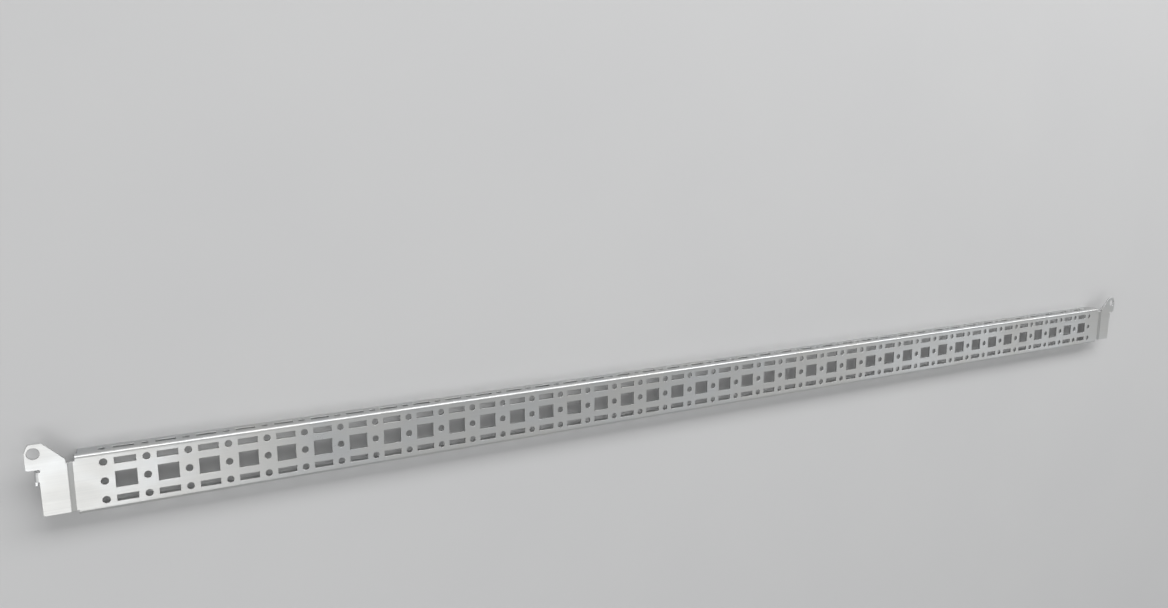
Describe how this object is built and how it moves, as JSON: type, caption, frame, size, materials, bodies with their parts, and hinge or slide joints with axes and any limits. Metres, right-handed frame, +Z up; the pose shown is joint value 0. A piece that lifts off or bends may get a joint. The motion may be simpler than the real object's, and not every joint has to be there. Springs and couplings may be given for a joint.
{
  "type": "enclosure chassis rail",
  "caption": "Long punched channel rail of zinc-plated sheet steel, with a joggled screw tab and hook lug at each end, for mounting equipment in an enclosure frame.",
  "frame": {"origin": "on the floor that both flange edges lie on, under the middle of the rail's box", "axes": "+X along the rail, +Y across the punched face to the ears, +Z up out of the face"},
  "size_m": [1.085, 0.05, 0.0155],
  "materials": {
    "zinc_plated_steel": "bright zinc plate, satin"
  },
  "bodies": {
    "root": {"chassis_rail": "zinc_plated_steel"}
  },
  "joints": []
}
